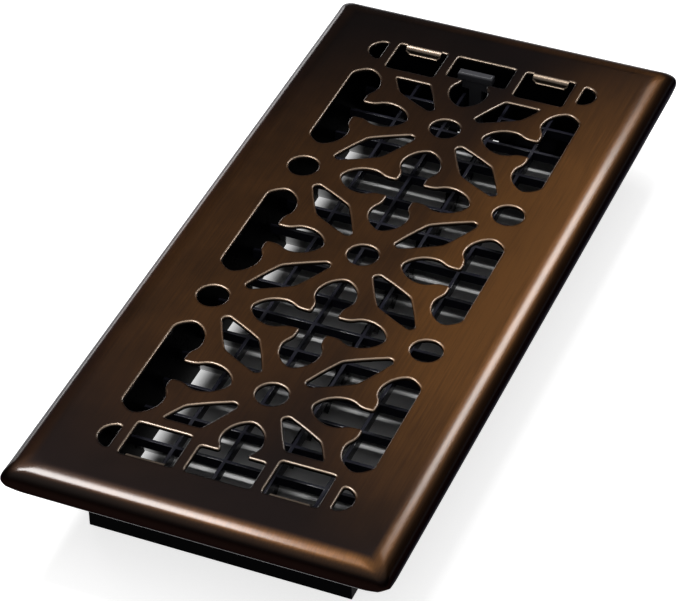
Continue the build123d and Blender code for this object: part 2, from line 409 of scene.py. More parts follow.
def softened(mesh, piece_name, rounding, material):
    """A piece with the form of a mesh and its edges rounded as a mould leaves them."""
    shell = merged_shell(mesh)
    bmesh.ops.dissolve_limit(
        shell, angle_limit=FLAT_ANGLE, use_dissolve_boundaries=False, verts=shell.verts, edges=shell.edges)
    piece = new_piece(piece_name, shell, material)
    bevel = piece.modifiers.new("Mould round", "BEVEL")
    bevel.width = rounding
    bevel.segments = BEVEL_SEGMENTS
    bevel.limit_method = "ANGLE"
    bevel.angle_limit = BEVEL_ANGLE
    settle(piece)
    smooth(piece)
    return piece


# Face plate

def opening_outlines(shell, level):
    """Points round each opening's top edge in order, and the pairs that a tab hangs between."""
    beside = {}
    hung = []
    for edge in shell.edges:
        if any(abs(vert.co.z - level) > WELD for vert in edge.verts):
            continue
        flat = [face for face in edge.link_faces if face.normal.z > FLAT_NORMAL]
        if len(flat) != 1:
            continue
        first, second = edge.verts
        beside.setdefault(first.index, []).append(second.index)
        beside.setdefault(second.index, []).append(first.index)
        if any(WALL_NORMAL < face.normal.z < FLAT_NORMAL for face in edge.link_faces):
            hung.append({first.index, second.index})
    shell.verts.ensure_lookup_table()
    loops = []
    left = dict(beside)
    while left:
        start = next(iter(left))
        loop = [start]
        here = beside[start][0]
        while here != start:
            ways = beside[here]
            loop.append(here)
            here = ways[1] if ways[0] == loop[-2] else ways[0]
        for index in loop:
            del left[index]
        loops.append(loop)
    outlines = []
    for loop in loops:
        points = [shell.verts[index].co.xy for index in loop]
        pairs = [pair for pair in hung if pair <= set(loop)]
        outlines.append((points, [[shell.verts[i].co.xy for i in pair] for pair in pairs]))
    outlines.sort(key=lambda outline: abs(signed_area(outline[0])))
    return outlines[:-1]


def signed_area(points):
    """Area of an outline, positive where it runs anticlockwise."""
    return sum(a.cross(b) for a, b in zip(points, points[1:] + points[:1])) / 2


def turn_at(points, index):
    """Angle by which an outline turns at a point."""
    here = points[index]
    before = here - points[index - 1]
    after = points[(index + 1) % len(points)] - here
    return abs(before.angle_signed(after))


def trimmed(run, cut):
    """A run of points cut back at both ends."""
    total = sum((b - a).length for a, b in zip(run, run[1:]))
    cut = min(cut, TRIM_SHARE * total)
    for _ in range(2):
        left = cut
        step = (run[1] - run[0]).length
        while step < left:
            left -= step
            run = run[1:]
            step = (run[1] - run[0]).length
        run = [run[0].lerp(run[1], left / step)] + run[1:]
        run = run[::-1]
    return run


def rounded(points, cut, steps=5):
    """The outline with a short curve in place of each sharp corner."""
    count = len(points)
    corners = [i for i in range(count) if turn_at(points, i) > SHARP_TURN]
    if not corners:
        return points
    following = corners[1:] + corners[:1]
    runs = []
    for here, there in zip(corners, following):
        length = (there - here) % count or count
        runs.append(trimmed([points[(here + k) % count] for k in range(length + 1)], cut))
    outline = []
    for run, corner, after in zip(runs, following, runs[1:] + runs[:1]):
        outline += run
        for k in range(1, steps):
            t = k / steps
            outline.append(run[-1].lerp(points[corner], t).lerp(points[corner].lerp(after[0], t), t))
    return outline


def outward_steps(points):
    """For each point of an anticlockwise outline, the step that moves both its edges out by one."""
    steps = []
    for i, here in enumerate(points):
        before = (here - points[i - 1]).normalized()
        after = (points[(i + 1) % len(points)] - here).normalized()
        one = Vector((before.y, -before.x))
        two = Vector((after.y, -after.x))
        steps.append((one + two) / (1 + one.dot(two)))
    return steps


def shoulder(width, drop, fullness, steps):
    """How far along and how far down each row of a soft shoulder lies, from flat to upright."""
    rows = []
    for k in range(steps + 1):
        angle = k / steps * QUARTER_TURN
        along = math.sin(angle) ** (2 / fullness)
        left = math.cos(angle) ** (2 / fullness) if k < steps else 0.0
        rows.append((width * along, drop * (1 - left)))
    return rows


def ring(shell, half, inset, radius, level, sizes, lift, corner_steps=8, lead_steps=3):
    """Vertices round the plate at an inset from its edge, which rise by the lift at the corners."""
    reach = Vector((half.x - inset - radius, half.y - inset - radius))
    verts = []
    for quarter, (x, y) in enumerate(((1, 1), (-1, 1), (-1, -1), (1, -1))):
        for k in range(-lead_steps, corner_steps + lead_steps + 1):
            turned = min(max(k, 0), corner_steps)
            angle = (quarter + turned / corner_steps) * QUARTER_TURN
            out = Vector((math.cos(angle), math.sin(angle)))
            past = (k - turned) / lead_steps
            spot = Vector((x * reach.x, y * reach.y)) + out * radius
            spot += Vector((-out.y, out.x)) * past * sizes.corner_lead
            share = (2 * turned / corner_steps - 1 + past) / 2
            rise = lift * math.cos(share * QUARTER_TURN) ** 2 if abs(past) < 1 else 0.0
            verts.append(shell.verts.new((spot.x, spot.y, level + rise)))
    return verts


def lace(shell, first, second):
    """Faces between two closed rows of equal length."""
    for i in range(len(first)):
        shell.faces.new((first[i - 1], first[i], second[i], second[i - 1]))


def fill_level(shell, level):
    """Faces over the flat of the plate at a level, round all its openings."""
    edges = [
        edge for edge in shell.edges
        if edge.is_boundary and all(abs(vert.co.z - level) < WELD for vert in edge.verts)]
    bmesh.ops.triangle_fill(shell, use_beauty=True, normal=(0, 0, 1), edges=edges)


def tab_rows(sizes, drop, steps=8):
    """How far in and how far down each row round a folded tab lies, from the face to its back."""
    outer = sizes.bend_radius + sizes.sheet
    bend = shoulder(sizes.edge_width + outer, outer, sizes.edge_fullness, steps)
    rows = [(along - sizes.edge_width, down) for along, down in bend]
    foot = [(out + outer, drop - down) for out, down in shoulder(
        sizes.tab_foot, sizes.tab_foot, sizes.edge_fullness, steps // 2)]
    rows += [(2 * outer + sizes.tab_foot - out, down - sizes.bend_radius) for out, down in foot[::-1]]
    rows += [(outer + sizes.tab_foot, drop), (sizes.bend_radius, drop)]
    for k in range(steps, -1, -1):
        angle = k / steps * QUARTER_TURN
        rows.append((sizes.bend_radius * math.sin(angle), outer - sizes.bend_radius * math.cos(angle)))
    return rows


def add_opening(shell, outline, level, sizes, bare):
    """The drawn edge and wall of one opening, with its tab."""
    points, pairs = outline
    if signed_area(points) < 0:
        points = points[::-1]
    points = rounded(points, sizes.corner_round)
    steps = outward_steps(points)
    edge = shoulder(sizes.edge_width, sizes.edge_drop, sizes.edge_fullness, EDGE_STEPS)
    edge.append((sizes.edge_width, sizes.sheet))
    rows = []
    for number, (along, down) in enumerate(edge):
        row = []
        for point, step in zip(points, steps):
            spot = point + step * (sizes.edge_width - along)
            vert = shell.verts.new((spot.x, spot.y, level - down))
            if 0 < number < len(edge) - 1:
                # Painted highlight: the far and left edges get more of the worn colour, standing in for the
                # light they catch
                facing = step.normalized().dot(GLINT_SIDE)
                vert[bare] = max(0.0, WORN_EVERYWHERE + GLINT_FACING * facing)
            row.append(vert)
        rows.append(row)
    for i in range(len(points)):
        ends = (points[i - 1], points[i])
        if any(all(min((p - q).length for q in pair) < WELD for p in ends) for pair in pairs):
            add_tab(shell, [row[i - 1] for row in rows], [row[i] for row in rows], ends, level, sizes, bare)
        else:
            for above, below in zip(rows, rows[1:]):
                shell.faces.new((above[i - 1], above[i], below[i], below[i - 1]))


def add_tab(shell, left, right, ends, level, sizes, bare):
    """A tab folded down from an opening's edge, between the two wall columns beside it."""
    along = ends[1] - ends[0]
    inward = Vector((-along.y, along.x)).normalized()
    cut = sizes.tab_corner / along.length
    columns = []
    for share in (0, cut, 1 - cut, 1):
        drop = sizes.tab_drop - (sizes.tab_corner if share in (0, 1) else 0)
        base = ends[0] + along * share
        column = []
        for out, down in tab_rows(sizes, drop):
            spot = base + inward * out
            vert = shell.verts.new((spot.x, spot.y, level - down))
            # Wear and painted highlight: the bend and end of the tab take the worn colour, which also paints
            # the light on the bend
            vert[bare] = WORN_GLINT_TAB if out > 0 and down > 0 else 0.0
            column.append(vert)
        columns.append(column)
    for one, two in zip(columns, columns[1:]):
        for k in range(len(one) - 1):
            shell.faces.new((one[k], two[k], two[k + 1], one[k + 1]))
    for column, wall in ((columns[0], left), (columns[-1], right)):
        shell.faces.new(column + wall[-2:0:-1])


def rim_rows(sizes, steps=9):
    """How far along and how far down each row of the rim lies, over its lead and its roll."""
    lead, roll, turn = sizes.lead_radius, sizes.roll_radius, sizes.lead_angle
    angles = [turn * k / steps for k in range(steps + 1)]
    rows = [(lead * math.sin(angle), lead - lead * math.cos(angle)) for angle in angles]
    along = (lead - roll) * math.sin(turn)
    down = lead - (lead - roll) * math.cos(turn)
    for k in range(1, steps + 1):
        angle = turn + (QUARTER_TURN - turn) * k / steps
        rows.append((along + roll * math.sin(angle), down - roll * math.cos(angle)))
    return rows


def add_rim(shell, half, level, sizes, bare):
    """The rim that turns down to the floor, outside and inside."""
    rows = []
    slope = rim_rows(sizes)
    last = len(slope) - 1
    outside = [(slope[last][0] - along, down) for along, down in slope]
    lifts = [sizes.corner_lift * (down / level) ** 2 for _, down in outside]
    for (inset, down), lift in zip(outside, lifts):
        corner = sizes.corner_radius + sizes.corner_soft * inset
        rows.append(ring(shell, half, inset, corner, level - down, sizes, lift))
    lip = sizes.lip_round
    turn = lip * LIP_TURN
    # Painted highlight: the lip's rounding takes the worn colour, cut steel there, which paints the light
    # line along the lower edge
    for inset, height, wear_and_glint in ((0, lip, 0.0), (turn, turn, 1.0), (lip, 0, 1.0), (sizes.sheet, 0, 0.0)):
        row = ring(shell, half, inset, sizes.corner_radius - inset, height, sizes, sizes.corner_lift)
        for vert in row:
            vert[bare] = wear_and_glint
        rows.append(row)
    inner = sizes.corner_radius - sizes.sheet
    for k in range(last, -1, -1):
        if k == 0:
            lean = Vector((1, 0))
        elif k == last:
            lean = Vector((0, 1))
        else:
            lean = (Vector(slope[k + 1]) - Vector(slope[k - 1])).normalized()
        inset = outside[k][0] + sizes.sheet * lean.y
        down = outside[k][1] + sizes.sheet * lean.x
        corner = inner + sizes.corner_soft * (inset - sizes.sheet)
        rows.append(ring(shell, half, inset, corner, level - down, sizes, lifts[k]))
    for above, below in zip(rows, rows[1:]):
        lace(shell, above, below)


class OBJECT_OT_register_plate(bpy.types.Operator):
    """Build the pierced plate with its drawn edges, rim and folded tabs"""

    bl_idname = "object.register_plate"
    bl_label = "Build Face Plate"

    def execute(self, context):
        sizes = context.scene.register_looks.plate
        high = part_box("face_plate")[1]
        source = merged_shell(frame["nodes"]["face_plate"].data)
        outlines = opening_outlines(source, high.z)
        source.free()
        shell = bmesh.new()
        bare = shell.verts.layers.float.new("worn_glint_edge")
        add_rim(shell, high.xy, high.z, sizes, bare)
        for outline in outlines:
            add_opening(shell, outline, high.z, sizes, bare)
        bmesh.ops.remove_doubles(shell, verts=shell.verts, dist=WELD)
        for level in (high.z, high.z - sizes.sheet):
            fill_level(shell, level)
        bmesh.ops.recalc_face_normals(shell, faces=shell.faces)
        piece = new_piece("pierced_plate", shell, bronze_finish(sizes))
        smooth(piece)
        dress(piece, "frame", "face_plate")
        return {"FINISHED"}


# Node trees

def add_node(tree, kind, **settings):
    """A node with some of its settings and unlinked inputs filled in."""
    node = tree.nodes.new(kind)
    for name, value in settings.items():
        if name in node.inputs:
            node.inputs[name].default_value = value
        else:
            setattr(node, name, value)
    return node


def joined(tree, kind, links, **settings):
    """A node whose inputs, named or numbered, are linked or filled in."""
    node = add_node(tree, kind, **settings)
    for name, value in links.items():
        tree.links.new(value, node.inputs[name])
    return node


def maths(tree, operation, one, two=0.0):
    """The output of a Math node on two sockets or numbers."""
    node = add_node(tree, "ShaderNodeMath", operation=operation)
    for socket, value in zip(node.inputs, (one, two)):
        if isinstance(value, (int, float)):
            socket.default_value = value
        else:
            tree.links.new(value, socket)
    return node.outputs[0]


def times(tree, one, two):
    """The product of two sockets or numbers."""
    return maths(tree, "MULTIPLY", one, two)


def vector_of(tree, **parts):
    """The output of a Combine XYZ node on named sockets."""
    return joined(tree, "ShaderNodeCombineXYZ", parts).outputs[0]


def parts_of(tree, vector):
    """The three outputs of a Separate XYZ node."""
    return joined(tree, "ShaderNodeSeparateXYZ", {"Vector": vector}).outputs


def new_tree(name, sockets):
    """A Geometry Nodes tree with named inputs and one geometry output, and its input sockets."""
    tree = bpy.data.node_groups.new(name, "GeometryNodeTree")
    for socket_name, kind in sockets:
        tree.interface.new_socket(socket_name, in_out="INPUT", socket_type="NodeSocket" + kind)
    tree.interface.new_socket("Geometry", in_out="OUTPUT", socket_type="NodeSocketGeometry")
    return tree, add_node(tree, "NodeGroupInput").outputs


def end_tree(tree, mesh, material):
    """Realize the instances, set the material and put the mesh out."""
    real = joined(tree, "GeometryNodeRealizeInstances", {"Geometry": mesh})
    coloured = joined(
        tree, "GeometryNodeSetMaterial", {"Geometry": real.outputs["Geometry"], "Material": material})
    joined(tree, "NodeGroupOutput", {"Geometry": coloured.outputs["Geometry"]})


def combined(tree, operation, first, *others):
    """The output of a mesh boolean on two or more solids."""
    node = add_node(tree, "GeometryNodeMeshBoolean", operation=operation, solver="MANIFOLD")
    if operation == "DIFFERENCE":
        tree.links.new(first, node.inputs["Mesh 1"])
    else:
        others = (first, *others)
    for mesh in others:
        tree.links.new(mesh, node.inputs["Mesh 2"])
    return node.outputs["Mesh"]


def named_sizes(sizes):
    """A group's sizes under the names that a tree's inputs have."""
    return {name.replace("_", " ").title(): getattr(sizes, name) for name in sizes.__annotations__}


def set_inputs(modifier, values):
    """Fill a Geometry Nodes modifier's inputs, found by name and set by identifier."""
    for item in modifier.node_group.interface.items_tree:
        if item.in_out == "INPUT" and item.name in values:
            modifier[item.identifier] = values[item.name]


# Rib grid

def rib_row(tree, profile, start, finish, count, first, spacing):
    """One rib swept from start to finish and repeated along a line of points."""
    line = joined(tree, "GeometryNodeCurvePrimitiveLine", {"Start": start, "End": finish})
    upright = joined(tree, "GeometryNodeSetCurveNormal", {"Curve": line.outputs["Curve"]}, mode="Z_UP")
    bar = joined(
        tree, "GeometryNodeCurveToMesh", {"Curve": upright.outputs["Curve"], "Profile Curve": profile},
        **{"Fill Caps": True})
    places = joined(
        tree, "GeometryNodeMeshLine", {"Count": count, "Start Location": first, "Offset": spacing})
    copies = joined(
        tree, "GeometryNodeInstanceOnPoints",
        {"Points": places.outputs["Mesh"], "Instance": bar.outputs["Mesh"]})
    return copies.outputs["Instances"]


def rib_grid_tree():
    """Crossed ribs with rounded edges, joined into one moulding, with the lever's bay left open."""
    tree, given = new_tree("Rib grid", (
        ("Width", "Float"), ("Length", "Float"), ("Depth", "Float"), ("Level", "Float"),
        ("Rib", "Float"), ("Edge Round", "Float"), ("Pitch", "Float"), ("Bay", "Float"),
        ("Cross Ribs", "Int"), ("Long Ribs", "Int"), ("Material", "Material")))
    section = joined(
        tree, "GeometryNodeCurvePrimitiveQuadrilateral", {"Width": given["Rib"], "Height": given["Depth"]})
    profile = joined(
        tree, "GeometryNodeFilletCurve",
        {"Curve": section.outputs["Curve"], "Radius": given["Edge Round"]}, mode="POLY", Count=FILLET_POINTS)
    half_width = times(tree, given["Width"], 0.5)
    half_length = times(tree, given["Length"], 0.5)
    left = times(tree, half_width, -1)
    near = times(tree, half_length, -1)
    level = given["Level"]
    cross_reach = times(tree, maths(tree, "SUBTRACT", given["Cross Ribs"], 1), 0.5)
    long_reach = times(tree, maths(tree, "SUBTRACT", given["Long Ribs"], 1), 0.5)
    last_cross = times(tree, cross_reach, given["Pitch"])
    last_long = times(tree, long_reach, given["Bay"])
    across = rib_row(
        tree, profile.outputs["Curve"], vector_of(tree, X=left), vector_of(tree, X=half_width),
        given["Cross Ribs"], vector_of(tree, Y=times(tree, last_cross, -1), Z=level),
        vector_of(tree, Y=given["Pitch"]))
    along = rib_row(
        tree, profile.outputs["Curve"], vector_of(tree, Y=near), vector_of(tree, Y=half_length),
        given["Long Ribs"], vector_of(tree, X=times(tree, last_long, -1), Z=level),
        vector_of(tree, X=given["Bay"]))
    gap_size = vector_of(
        tree, X=maths(tree, "SUBTRACT", given["Bay"], given["Rib"]),
        Y=times(tree, given["Rib"], 2), Z=times(tree, given["Depth"], 2))
    gap = block(tree, gap_size, vector_of(tree, Y=last_cross, Z=level))
    moulding = combined(tree, "UNION", across, along)
    end_tree(tree, combined(tree, "DIFFERENCE", moulding, gap), given["Material"])
    return tree


class OBJECT_OT_register_grid(bpy.types.Operator):
    """Build the grid of crossed ribs inside the box"""

    bl_idname = "object.register_grid"
    bl_label = "Build Rib Grid"

    def execute(self, context):
        looks = context.scene.register_looks
        sizes = looks.grid
        low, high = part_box("air_grid")
        size = high - low
        material = rib_plastic(looks.mould)
        piece = new_piece("rib_grid", bmesh.new(), material)
        nodes = piece.modifiers.new("Ribs", "NODES")
        nodes.node_group = rib_grid_tree()
        set_inputs(nodes, {
            "Width": size.x, "Length": size.y, "Depth": size.z, "Level": (low.z + high.z) / 2,
            "Bay": size.x / (sizes.long_ribs + 1), "Material": material, **named_sizes(sizes)})
        settle(piece)
        smooth(piece)
        dress(piece, "frame", "air_grid")
        return {"FINISHED"}


# Damper box

class OBJECT_OT_register_box(bpy.types.Operator):
    """Build the moulded damper box"""

    bl_idname = "object.register_box"
    bl_label = "Build Damper Box"

    def execute(self, context):
        sizes = context.scene.register_looks.mould
        source = frame["nodes"]["damper_box"].data
        piece = softened(source, "moulded_box", sizes.box_round, box_plastic(sizes))
        dress(piece, "frame", "damper_box")
        return {"FINISHED"}


# Louvers

def block(tree, size, place):
    """A block of a size at a place."""
    cube = joined(tree, "GeometryNodeMeshCube", {"Size": size})
    moved = joined(tree, "GeometryNodeTransform", {"Geometry": cube.outputs["Mesh"], "Translation": place})
    return moved.outputs["Geometry"]


def squeezed(tree, mesh, chosen, **scales):
    """A mesh whose chosen points are scaled along some axes."""
    spot = add_node(tree, "GeometryNodeInputPosition").outputs["Position"]
    steps = {name: maths(tree, "SUBTRACT", scale, 1) for name, scale in scales.items()}
    move = joined(
        tree, "ShaderNodeVectorMath", {0: spot, 1: vector_of(tree, **steps)}, operation="MULTIPLY")
    shaped = joined(
        tree, "GeometryNodeSetPosition",
        {"Geometry": mesh, "Selection": chosen, "Offset": move.outputs["Vector"]})
    return shaped.outputs["Geometry"]


def flat_pin(tree, size, place):
    """A pin along X, round at two sides and flat at the other two."""
    length, flat, diameter = parts_of(tree, size)
    rod = joined(
        tree, "GeometryNodeMeshCylinder",
        {"Radius": times(tree, diameter, 0.5), "Depth": times(tree, length, 2)},
        Vertices=PIN_SIDES)
    lying = joined(
        tree, "GeometryNodeTransform", {"Geometry": rod.outputs["Mesh"], "Translation": place},
        Rotation=(0, QUARTER_TURN, 0))
    window = vector_of(tree, X=length, Y=flat, Z=times(tree, diameter, 2))
    return combined(tree, "INTERSECT", lying.outputs["Geometry"], block(tree, window, place))


def slat_tree():
    """One louver: a blade thick in the middle, notched for the link bar, with pivot pins and a crank."""
    tree, given = new_tree("Slat", (
        ("Blade", "Vector"), ("Middle", "Float"), ("Pivot", "Vector"), ("Notch", "Vector"),
        ("Notch Place", "Vector"), ("Ear", "Vector"), ("Ear Tip", "Float"), ("Ear Place", "Vector"),
        ("Crank", "Vector"), ("Crank Place", "Vector"), ("Tilt", "Float"), ("Place", "Vector"),
        ("Material", "Material")))
    spot = parts_of(tree, add_node(tree, "GeometryNodeInputPosition").outputs["Position"])
    blade_parts = parts_of(tree, given["Blade"])
    plank = joined(tree, "GeometryNodeMeshCube", {"Size": given["Blade"]}, **{"Vertices Z": 3})
    quarter = times(tree, blade_parts["Z"], 0.25)
    waist = maths(tree, "LESS_THAN", maths(tree, "ABSOLUTE", spot["Z"]), quarter)
    blade = squeezed(
        tree, plank.outputs["Mesh"], waist, Y=maths(tree, "DIVIDE", given["Middle"], blade_parts["Y"]))
    notched = combined(tree, "DIFFERENCE", blade, block(tree, given["Notch"], given["Notch Place"]))
    ear_parts = parts_of(tree, given["Ear"])
    ear_block = joined(tree, "GeometryNodeMeshCube", {"Size": given["Ear"]})
    tapered = squeezed(
        tree, ear_block.outputs["Mesh"], maths(tree, "LESS_THAN", spot["Y"], 0.0),
        Z=maths(tree, "DIVIDE", given["Ear Tip"], ear_parts["Z"]))
    ear = joined(
        tree, "GeometryNodeTransform", {"Geometry": tapered, "Translation": given["Ear Place"]})
    pivot = flat_pin(tree, given["Pivot"], vector_of(tree))
    crank = flat_pin(tree, given["Crank"], given["Crank Place"])
    louver = combined(tree, "UNION", notched, ear.outputs["Geometry"], pivot, crank)
    tilted = joined(
        tree, "GeometryNodeTransform",
        {"Geometry": louver, "Translation": given["Place"], "Rotation": vector_of(tree, X=given["Tilt"])})
    end_tree(tree, tilted.outputs["Geometry"], given["Material"])
    return tree


class OBJECT_OT_register_louvers(bpy.types.Operator):
    """Build the louvers, each on its own pivot"""

    bl_idname = "object.register_louvers"
    bl_label = "Build Louvers"

    def execute(self, context):
        looks = context.scene.register_looks
        sizes = looks.slat
        material = louver_plastic(looks.mould)
        tree = slat_tree()
        hinges = {joint["child"]: joint["pos_m"] for joint in frame["joints"]}
        for node_name in sorted(name for name in frame["nodes"] if name.startswith("louver_")):
            blank = new_piece(node_name + "_blank", bmesh.new(), material)
            nodes = blank.modifiers.new("Slat", "NODES")
            nodes.node_group = tree
            set_inputs(nodes, {
                "Place": hinges[node_name], "Material": material, **named_sizes(sizes)})
            settle(blank)
            piece = softened(
                blank.data, node_name.replace("louver", "slat"), looks.mould.louver_round, material)
            bpy.data.objects.remove(blank)
            dress(piece, node_name, node_name)
        return {"FINISHED"}


# Link bar and lever

class OBJECT_OT_register_lever(bpy.types.Operator):
    """Build the link bar and the thumb lever on its end"""

    bl_idname = "object.register_lever"
    bl_label = "Build Link Bar and Lever"

    def execute(self, context):
        sizes = context.scene.register_looks.mould
        nodes = frame["nodes"]
        bar = softened(nodes["link_bar"].data, "tie_bar", sizes.lever_round, louver_plastic(sizes))
        dress(bar, "linkage", "link_bar")
        thumb = softened(nodes["lever"].data, "thumb_lever", sizes.lever_round, lever_plastic(sizes))
        dress(thumb, "linkage", "lever")
        return {"FINISHED"}


# Finishes

def surface_grain():
    """A shader group with a fine stretched grain and a broad cloudiness."""
    name = "Surface grain"
    group = bpy.data.node_groups.get(name)
    if group:
        return group
    group = bpy.data.node_groups.new(name, "ShaderNodeTree")
    for socket_name in ("Spot", "Stretch"):
        group.interface.new_socket(socket_name, in_out="INPUT", socket_type="NodeSocketVector")
    group.interface.new_socket("Cloud Scale", in_out="INPUT", socket_type="NodeSocketFloat")
    for socket_name in ("Grain", "Cloud"):
        group.interface.new_socket(socket_name, in_out="OUTPUT", socket_type="NodeSocketFloat")
    given = add_node(group, "NodeGroupInput").outputs
    stretched = joined(group, "ShaderNodeMapping", {"Vector": given["Spot"], "Scale": given["Stretch"]})
    fine = joined(
        group, "ShaderNodeTexNoise", {"Vector": stretched.outputs["Vector"]}, Scale=1.0, Detail=FINE_DETAIL)
    broad = joined(
        group, "ShaderNodeTexNoise", {"Vector": given["Spot"], "Scale": given["Cloud Scale"]},
        Detail=BROAD_DETAIL)
    joined(group, "NodeGroupOutput", {"Grain": fine.outputs["Fac"], "Cloud": broad.outputs["Fac"]})
    return group


def new_finish(name, stretch, cloud_scale, bump):
    """A material with its grain in place, and its tree, shader, coordinates and surface masks."""
    material = bpy.data.materials.new(name)
    material.use_nodes = True
    tree = material.node_tree
    shader = tree.nodes["Principled BSDF"]
    spot = add_node(tree, "ShaderNodeTexCoord").outputs["Object"]
    surface = joined(
        tree, "ShaderNodeGroup", {"Spot": spot},
        node_tree=surface_grain(), Stretch=stretch, **{"Cloud Scale": cloud_scale})
    relief = joined(
        tree, "ShaderNodeBump", {"Height": surface.outputs["Grain"]}, Strength=bump, Distance=RELIEF_DEPTH)
    tree.links.new(relief.outputs["Normal"], shader.inputs["Normal"])
    return material, tree, shader, spot, surface.outputs


def spread(tree, value, lowest, highest, low, high, way="LINEAR"):
    """A value brought from one range to another, as a Map Range node's output."""
    node = joined(tree, "ShaderNodeMapRange", {"Value": value}, interpolation_type=way)
    for name, number in zip(("From Min", "From Max", "To Min", "To Max"), (lowest, highest, low, high)):
        node.inputs[name].default_value = number
    return node.outputs["Result"]


def eased(tree, value, lowest, highest, low, high):
    """A value brought from one range to another with soft ends."""
    return spread(tree, value, lowest, highest, low, high, "SMOOTHSTEP")


def blended(tree, share, one, two):
    """A colour between two others, each a colour or a socket."""
    node = joined(tree, "ShaderNodeMix", {"Factor": share}, data_type="RGBA")
    for number, colour in zip(MIX_INPUTS, (one, two)):
        socket = node.inputs[number]
        if isinstance(colour, bpy.types.NodeSocket):
            tree.links.new(colour, socket)
        else:
            socket.default_value = (*colour, 1)
    return node.outputs[MIX_RESULT]


def rubbed_sheen_patch(tree, spot, place, size, most):
    """How far the finish is rubbed thin round a place on the plate, which also paints a sheen of light
    there.
    """
    middle = joined(
        tree, "ShaderNodeMapping", {"Vector": spot}, vector_type="TEXTURE", Location=place, Scale=size)
    fade = joined(
        tree, "ShaderNodeTexGradient", {"Vector": middle.outputs["Vector"]}, gradient_type="SPHERICAL")
    return eased(tree, fade.outputs["Fac"], *PATCH_BAND, 0.0, most)


def bronze_finish(sizes):
    """Brushed bronze: rubbed thin over the middle, with a painted sheen of light there and on the right;
    painted dark as shade on the upright rim and towards the ends; worn on the edges, with painted highlights
    on the far and left edges of the openings, on the tab bends and on the rim's lower edge.
    """
    material, tree, shader, spot, surface = new_finish("brushed_bronze", *BRUSHED)
    shader.inputs["Metallic"].default_value = 1.0
    shader.inputs["Specular Tint"].default_value = BRONZE_TINT
    shader.inputs["Coat Roughness"].default_value = COAT_ROUGHNESS
    roughness = spread(tree, surface["Cloud"], *NOISE_BAND, *BRONZE_ROUGHNESS)
    tree.links.new(roughness, shader.inputs["Roughness"])
    # Painted sheen: these patches lighten the bronze where the light falls on the middle and right of the
    # plate, as well as marking where it is rubbed thin
    right = rubbed_sheen_patch(tree, spot, *RIGHT_RUBBED_SHEEN)
    left = rubbed_sheen_patch(tree, spot, *LEFT_RUBBED_SHEEN)
    place = parts_of(tree, spot)
    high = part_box("face_plate")[1]
    beside = maths(tree, "SUBTRACT", maths(tree, "ABSOLUTE", place["X"]), high.x)
    beyond = maths(tree, "SUBTRACT", maths(tree, "ABSOLUTE", place["Y"]), high.y)
    reach = rim_rows(sizes)[-1][0]
    start, end = (share * reach for share in RIM_BAND)
    rim = eased(tree, maths(tree, "MAXIMUM", beside, beyond), start, end, 0.0, 1.0)
    # Painted highlight: the rim is rubbed more towards the right, which paints its highlight copper there
    rim = times(tree, rim, spread(tree, place["X"], *RIM_SIDES, *RIM_RUBBED_SHEEN))
    # Painted shade: the rubbing fades out below these heights, so the upright rim is painted dark
    upper = spread(tree, place["Z"], *SHADED_RIM_HEIGHTS, 0.0, 1.0)
    rubbed = maths(tree, "MAXIMUM", maths(tree, "MAXIMUM", right, left), rim)
    rubbed = times(tree, rubbed, upper)
    brushing = spread(tree, surface["Grain"], *NOISE_BAND, *GRAIN_SHARE)
    rubbed = times(tree, rubbed, brushing)
    coat = spread(tree, place["Z"], *COAT_HEIGHTS, 0.0, COAT_WEIGHT)
    tree.links.new(coat, shader.inputs["Coat Weight"])
    body = blended(tree, rubbed, sizes.dark, sizes.rubbed)
    # Wear and painted highlight: the worn edges' colour and the lip's cut steel colour also paint highlights
    wear_and_glint = add_node(tree, "ShaderNodeAttribute", attribute_name="worn_glint_edge")
    above_lip = spread(tree, place["Z"], *LIP_HEIGHTS, 0.0, 1.0)
    edge = blended(tree, above_lip, sizes.steel, sizes.bare)
    tree.links.new(blended(tree, wear_and_glint.outputs["Fac"], body, edge), shader.inputs["Base Color"])
    return material


def moulded_plastic(name, colour, roughness, gloss):
    """Moulded plastic with a fine grain and a cloudy gloss."""
    material = bpy.data.materials.get(name)
    if material:
        return material
    material, tree, shader, _, surface = new_finish(name, *MOULDED)
    shader.inputs["Specular IOR Level"].default_value = gloss
    cloudy = spread(
        tree, surface["Cloud"], *NOISE_BAND, roughness - CLOUD_ROUGHNESS, roughness + CLOUD_ROUGHNESS)
    tree.links.new(cloudy, shader.inputs["Roughness"])
    pale = [CLOUD_PALENESS * part for part in colour]
    tree.links.new(blended(tree, surface["Cloud"], colour, pale), shader.inputs["Base Color"])
    return material


def box_plastic(sizes):
    """Dull black of the box."""
    return moulded_plastic("box_black", sizes.black, *BOX_FINISH)


def rib_plastic(sizes):
    """Semi-gloss black of the rib grid, painted lighter than the box to stand in for the light on the ribs'
    tops.
    """
    return moulded_plastic("rib_painted_lit_black", sizes.rib_painted_lit_black, *RIB_FINISH)


def louver_plastic(sizes):
    """Glossy black of the louvers and the link bar."""
    return moulded_plastic("louver_black", sizes.black, *LOUVER_FINISH)


def lever_plastic(sizes):
    """Dark grey of the thumb lever."""
    return moulded_plastic("lever_grey", sizes.grey, *LEVER_FINISH)


# Stage

